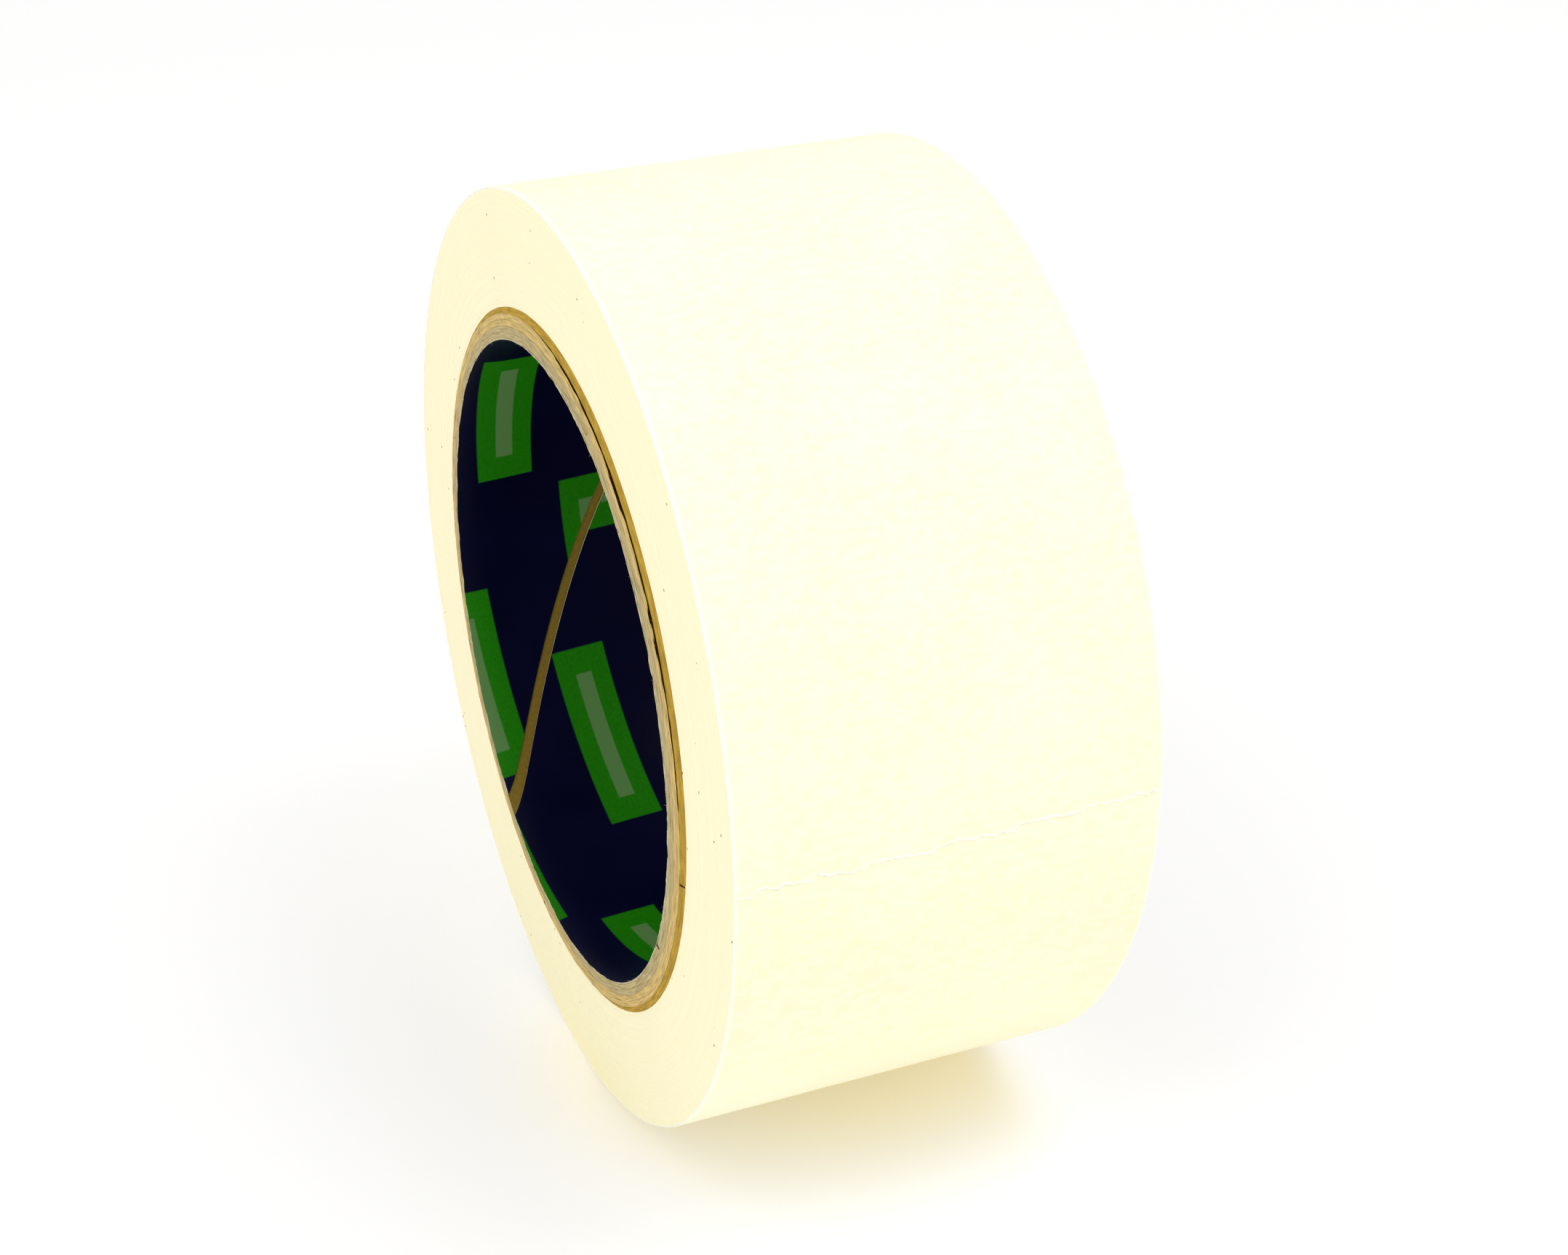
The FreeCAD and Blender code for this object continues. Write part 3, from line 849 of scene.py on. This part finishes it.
def hairs(context, name, roots, ways, lengths, seed, material):
    """Short curved fibres, each a thin three-sided tube that tapers to a point."""
    chance = np.random.default_rng(seed)
    vertices, faces = [], []
    for root, way, size in zip(roots, ways, lengths):
        way = way / np.linalg.norm(way)
        side = np.cross(way, chance.normal(size=3))
        side = side / np.linalg.norm(side)
        other = np.cross(way, side)
        bend = chance.uniform(-0.5, 0.5)
        base = len(vertices)
        for k, along in enumerate((0, 0.4, 0.75)):
            centre = root + way * size * along + side * size * bend * along * along
            for corner in range(3):
                around = FULL_TURN * corner / 3
                reach = FIBRE_RADIUS * (1 - 0.7 * along)
                vertices.append(centre + reach * (math.cos(around) * side
                                                  + math.sin(around) * other))
        vertices.append(root + way * size + side * size * bend)
        faces.append([base + 2, base + 1, base])
        for k in range(2):
            for corner in range(3):
                a, b = base + 3 * k + corner, base + 3 * k + (corner + 1) % 3
                faces.append([a, b, b + 3, a + 3])
        for corner in range(3):
            faces.append([base + 6 + corner, base + 6 + (corner + 1) % 3, base + 9])
    return new_piece(context, name, vertices, faces, [material])


def tear_line(sizes, across):
    """How far the torn edge lies back from the torn end's angle, at a place across it."""
    along = (across + HALF_WIDTH) / (2 * HALF_WIDTH)
    place = across + TEAR_OFFSET
    steps = stepped(place, 7.3 * MM, 31) * 0.75 + stepped(place, 2.3 * MM, 35) * 0.25 - 0.04
    fine = uneven(place, 0.8 * MM, 33) * 0.6 + uneven(place, 0.3 * MM, 34) * 0.4
    return (sizes.tear_slope * along ** 1.6 + sizes.tear_coarse * (-0.05 - steps)
            + sizes.tear_fine * fine)


# ---------------- operators


class TAPEROLL_OT_windings(bpy.types.Operator):
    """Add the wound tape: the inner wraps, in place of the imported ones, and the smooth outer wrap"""
    bl_idname = "taperoll.windings"
    bl_label = "Wound Tape"

    def execute(self, context):
        sizes, colours = context.scene.tape_sizes, context.scene.roll_colours
        paper = tape_paper("masking tape", colours, sizes)
        under_flap = FULL_TURN + FLAP_TURN / 2
        wraps = (sizes.radius - CORE_OUTSIDE) / sizes.thickness
        web = wound_web(context, sizes, "wound_tape", under_flap, wraps * FULL_TURN, paper)
        outer = tape_sheet(context, sizes, "outer_wrap", FLAP_TURN, under_flap,
                           np.linspace(0, 1, WRAP_STEPS + 1), tape_rows(sizes, TAPE_ROWS),
                           [paper])
        for piece in (web, outer):
            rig.ride(piece, ROLL_BODY)
            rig.slot(piece, "masking_tape")
            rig.replaces(piece, "tape_windings")
        return {"FINISHED"}


class TAPEROLL_OT_flap(bpy.types.Operator):
    """Add the free end of the tape, in lengths that bend from one hinge to the next"""
    bl_idname = "taperoll.flap"
    bl_label = "Free End"

    def execute(self, context):
        sizes, colours = context.scene.tape_sizes, context.scene.roll_colours
        looks = [tape_paper("masking tape flap", colours, sizes), sticky_paper(colours)]
        rows = tape_rows(sizes, TAPE_ROWS)
        halves = [FLAP_TURN] + [FLAP_TURN - FLAP_STEP * (k + 0.5) for k in range(3)]
        for k in range(3):
            name = "tape_flap_%d" % (k + 1)
            piece = tape_sheet(context, sizes, name, halves[k + 1], halves[k],
                               np.linspace(0, 1, FLAP_STEPS + 1), rows, looks)
            self.bend(piece, k)
        self.add_torn_end(context, halves[3])
        return {"FINISHED"}

    def bend(self, piece, k):
        """Bend a length about its hinge. The first starts at the hinge, flat on the roll."""
        hinge_turn = FLAP_TURN - FLAP_STEP * k
        start_turn = hinge_turn if k == 0 else hinge_turn + FLAP_STEP / 2
        start, end = [points(TORN_ANGLE + place, HINGES[k][1], 0)
                      for place in (start_turn, hinge_turn - FLAP_STEP / 2)]
        bodies = [ROLL_BODY] + FLAP_BODIES
        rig.blend(piece, bodies[k], bodies[k + 1], start=tuple(start), end=tuple(end))
        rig.replaces(piece, FLAP_NODES[k])
        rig.slot(piece, "masking_tape")

    def add_torn_end(self, context, root_turn):
        """The last length, thin and lifted along its ragged edge."""
        sizes, colours = context.scene.tape_sizes, context.scene.roll_colours
        looks = [tape_paper("masking tape torn end", colours, sizes, torn=True),
                 sticky_paper(colours)]
        rows = tape_rows(sizes, TORN_ROWS, 1.2)
        wave = rows + TEAR_OFFSET
        low = tear_line(sizes, rows) / sizes.radius
        part = np.linspace(0, 1, TORN_STEPS + 1)
        part = 0.25 * part + 0.75 * part ** 2.2
        turned = low + (root_turn - low) * part[:, None]
        back = (turned - low) * sizes.radius
        uneven_lift = 0.75 + 0.5 * uneven(wave, 1.9 * MM, 41) + 0.3 * uneven(wave, 5 * MM, 42)
        lift = sizes.tear_lift * np.exp(-back / (0.55 * MM)) * np.clip(uneven_lift, 0.1, 1.5)
        ragged = 0.75 + 0.35 * uneven(wave, 0.5 * MM, 43)
        thin = np.clip(0.28 + 0.72 * back / (sizes.feather * ragged), 0.28, 1)
        piece = tape_sheet(context, sizes, "tape_flap_4", low, root_turn, part, rows, looks,
                           lift, thin)
        bare = np.clip(1.2 - back / (0.5 * MM * ragged), 0, 1)
        attribute = piece.data.attributes.new("bare", "FLOAT", "POINT")
        attribute.data.foreach_set("value", np.tile(bare.ravel(), 2))
        self.bend(piece, 3)


class TAPEROLL_OT_torn_fibres(bpy.types.Operator):
    """Add the loose fibres along the torn edge"""
    bl_idname = "taperoll.torn_fibres"
    bl_label = "Torn Fibres"

    def execute(self, context):
        sizes, colours = context.scene.tape_sizes, context.scene.roll_colours
        chance = np.random.default_rng(51)
        across = chance.uniform(-0.985, 0.985, sizes.fibres) * HALF_WIDTH
        turned = tear_line(sizes, across) / sizes.radius
        angle = TORN_ANGLE + turned + 0.12 * MM / sizes.radius
        radius = wrap_radius(sizes, turned) - sizes.thickness + sizes.tear_lift * 0.9
        roots = points(angle, radius, across)
        down = points(angle - math.pi / 2, np.ones_like(angle), 0)
        out = points(angle, np.ones_like(angle), 0)
        aside = np.zeros_like(out)
        aside[:, 1] = chance.normal(0, 0.65, sizes.fibres)
        ways = down + aside + out * chance.uniform(-0.12, 0.35, sizes.fibres)[:, None]
        lengths = sizes.fibre_length * chance.uniform(0.25, 1.0, sizes.fibres) ** 1.6
        material = loose_fibre("torn paper fibre", colours.torn)
        piece = hairs(context, "torn_fibres", roots, ways, lengths, 52, material)
        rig.ride(piece, FLAP_BODIES[-1])
        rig.slot(piece, "masking_tape")
        return {"FINISHED"}


class TAPEROLL_OT_boards(bpy.types.Operator):
    """Add the five wound plies of core board"""
    bl_idname = "taperoll.boards"
    bl_label = "Core Boards"

    def execute(self, context):
        core, colours = context.scene.core_sizes, context.scene.roll_colours
        shades = [colours.inner_ply, colours.inner_ply, colours.middle_ply, colours.middle_ply,
                  colours.outer_ply]
        last = len(BOARD_NODES) - 1
        for k, node in enumerate(BOARD_NODES):
            inside = LINER_OUTSIDE + core.glue + k * (core.board + core.glue)
            look = {"columns": 480, "rough": core.roughness, "seed": 100 + 40 * k,
                    "split": core.crack if k == last - 1 else 0.0}
            # Radius under which this ply's face takes the painted shade of the split
            split_shade_below = inside + core.board if k == last - 1 else 0.0
            materials = [kraft_board("kraft face %d" % (k + 1), colours, split_shade_below),
                         cut_board("cut board %d" % (k + 1), tuple(shades[k]))]
            piece = core_layer(context, core, "board_%d" % (k + 1), inside, core.board,
                               core.board_gap, core.seam_angle + core.stagger * (k + 1), look,
                               materials)
            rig.ride(piece, ROLL_BODY)
            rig.replaces(piece, node)
            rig.slot(piece, "core_board")
        return {"FINISHED"}


class TAPEROLL_OT_liner(bpy.types.Operator):
    """Add the printed paper inside the core"""
    bl_idname = "taperoll.liner"
    bl_label = "Printed Liner"

    def execute(self, context):
        core, colours = context.scene.core_sizes, context.scene.roll_colours
        look = {"columns": 960, "rough": core.fringe, "seed": 400, "split": 0.0}
        materials = [printed_paper(colours, context.scene.print_sizes, core),
                     paper_edge(colours)]
        piece = core_layer(context, core, "liner_paper", BORE_RADIUS, LINER_OUTSIDE - BORE_RADIUS,
                           core.liner_gap, core.seam_angle, look, materials)
        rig.ride(piece, ROLL_BODY)
        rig.replaces(piece, "core_liner")
        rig.slot(piece, "liner_paper")
        return {"FINISHED"}


class TAPEROLL_OT_core_fuzz(bpy.types.Operator):
    """Add the loose fibres round the cut end of the core"""
    bl_idname = "taperoll.core_fuzz"
    bl_label = "Core Fuzz"

    def execute(self, context):
        core, colours = context.scene.core_sizes, context.scene.roll_colours
        chance = np.random.default_rng(61)
        angle = chance.uniform(0, FULL_TURN, core.fuzz)
        part = chance.uniform(0, 1, core.fuzz) ** 2.6
        front = chance.uniform(0, 1, core.fuzz) < 0.75
        facing = np.where(front, -1.0, 1.0)
        radius = BORE_RADIUS + (CORE_OUTSIDE - BORE_RADIUS) * part
        rise, flare = [np.where(front, *pair) for pair in zip(
            cut_end(core, radius, 0, True), cut_end(core, radius, 0, False))]
        roots = points(angle, radius + flare, facing * (HALF_WIDTH + rise - 0.05 * MM))
        inward = -points(angle, np.ones_like(angle), 0)
        around = points(angle + math.pi / 2, np.ones_like(angle), 0)
        outward = np.zeros_like(inward)
        outward[:, 1] = facing
        ways = (inward * (chance.uniform(0.2, 1.0, core.fuzz) * (1 - part))[:, None]
                + around * chance.normal(0, 0.8, core.fuzz)[:, None]
                + outward * chance.uniform(0.1, 0.6, core.fuzz)[:, None])
        lengths = core.fuzz_length * chance.uniform(0.2, 1.0, core.fuzz) ** 1.8
        material = loose_fibre("board fibre", colours.fuzz)
        piece = hairs(context, "core_fuzz", roots, ways, lengths, 62, material)
        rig.ride(piece, ROLL_BODY)
        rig.slot(piece, "core_board")
        return {"FINISHED"}


class TAPEROLL_OT_stage(bpy.types.Operator):
    """Add the floor, the soft light and the camera"""
    bl_idname = "taperoll.stage"
    bl_label = "Stage"

    def execute(self, context):
        stage = context.scene.roll_stage
        self.add_floor(context, stage)
        self.light(context, stage)
        self.add_camera(context, stage)
        context.scene.view_settings.view_transform = "Standard"
        return {"FINISHED"}

    def add_floor(self, context, stage):
        """The square floor that the roll stands on."""
        half = stage.floor_size / 2
        height = FRAME_BOX[0][2]
        corners = [(-half, -half, 0), (half, -half, 0), (half, half, 0), (-half, half, 0)]
        look = floor_paper(stage, context.scene.tape_sizes)
        floor = new_piece(context, "floor", corners, [[0, 1, 2, 3]], [look])
        floor.location.z = height
        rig.stage(floor)

    def light(self, context, stage):
        """Even light from all round, and two soft lamps. The background shows plain white."""
        nodes = Nodes(bpy.data.worlds.new("soft studio"))
        lighting = nodes.add("ShaderNodeBackground", inputs={
            "Color": (*stage.sky_colour, 1), "Strength": stage.sky})
        shown = nodes.add("ShaderNodeBackground", inputs={"Color": (1, 1, 1, 1), "Strength": 1.0})
        both = nodes.add("ShaderNodeMixShader", inputs=[seen_directly(nodes), lighting, shown])
        context.scene.world = nodes.finish(both, "ShaderNodeOutputWorld")
        self.add_lamp(context, "right_lamp", stage.key, stage.lamp_size, Vector(stage.key_place))
        self.add_lamp(context, "left_lamp", stage.fill, stage.lamp_size, Vector(stage.fill_place))

    def add_lamp(self, context, name, power, size, place):
        """A square lamp that faces the middle of the roll."""
        lamp = bpy.data.lights.new(name, "AREA")
        lamp.energy = power
        lamp.size = size
        holder = bpy.data.objects.new(name, lamp)
        context.collection.objects.link(holder)
        holder.matrix_world = (Matrix.Translation(place)
                               @ place.to_track_quat("Z", "Y").to_matrix().to_4x4())

    def add_camera(self, context, stage):
        """The camera, turned about the middle of the roll's front face."""
        cos_e, sin_e = math.cos(stage.elevation), math.sin(stage.elevation)
        back = Vector((math.sin(stage.azimuth) * cos_e, -math.cos(stage.azimuth) * cos_e, sin_e))
        right = Vector((0, 0, 1)).cross(back).normalized()
        up = back.cross(right)
        middle = Vector((0, -HALF_WIDTH, 0))
        place = middle + back * stage.distance + right * stage.aside + up * stage.above
        turned = Matrix((right, up, back)).transposed().to_4x4()
        camera = bpy.data.cameras.new("camera")
        camera.lens = stage.lens
        camera.clip_start = 0.01
        holder = bpy.data.objects.new("camera", camera)
        context.collection.objects.link(holder)
        holder.matrix_world = Matrix.Translation(place) @ turned
        context.scene.camera = holder


PIECE_OPERATORS = [TAPEROLL_OT_windings, TAPEROLL_OT_flap, TAPEROLL_OT_torn_fibres,
                   TAPEROLL_OT_boards, TAPEROLL_OT_liner, TAPEROLL_OT_core_fuzz,
                   TAPEROLL_OT_stage]


class TAPEROLL_PT_sidebar(bpy.types.Panel):
    """The roll's pieces, and the sizes and colours that they are made with"""
    bl_idname = "TAPEROLL_PT_sidebar"
    bl_label = "Tape Roll"
    bl_space_type = "VIEW_3D"
    bl_region_type = "UI"
    bl_category = "Tape Roll"

    def draw(self, context):
        layout = self.layout
        for operator in PIECE_OPERATORS:
            layout.operator(operator.bl_idname)
        for name in PROPERTY_GROUPS:
            group = getattr(context.scene, name)
            box = layout.box()
            for field in group.__annotations__:
                box.prop(group, field)


PROPERTY_GROUPS = {"tape_sizes": TapeSizes, "core_sizes": CoreSizes, "print_sizes": PrintSizes,
                   "roll_colours": RollColours, "roll_stage": StageSettings}
CLASSES = list(PROPERTY_GROUPS.values()) + PIECE_OPERATORS + [TAPEROLL_PT_sidebar]


def register():
    for item in CLASSES:
        bpy.utils.register_class(item)
    for name, group in PROPERTY_GROUPS.items():
        setattr(bpy.types.Scene, name, PointerProperty(type=group))


def unregister():
    for name in PROPERTY_GROUPS:
        delattr(bpy.types.Scene, name)
    for item in reversed(CLASSES):
        bpy.utils.unregister_class(item)


def main():
    register()
    for operator in PIECE_OPERATORS:
        group, name = operator.bl_idname.split(".")
        getattr(getattr(bpy.ops, group), name)()
    sizes = {"cad": [list(map(float, corner)) for corner in FRAME_BOX],
             "visual": [list(map(float, corner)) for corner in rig.bounds()]}
    with open(SIZE_FILE, "w") as file:
        json.dump(sizes, file)


if __name__ == "__main__":
    main()
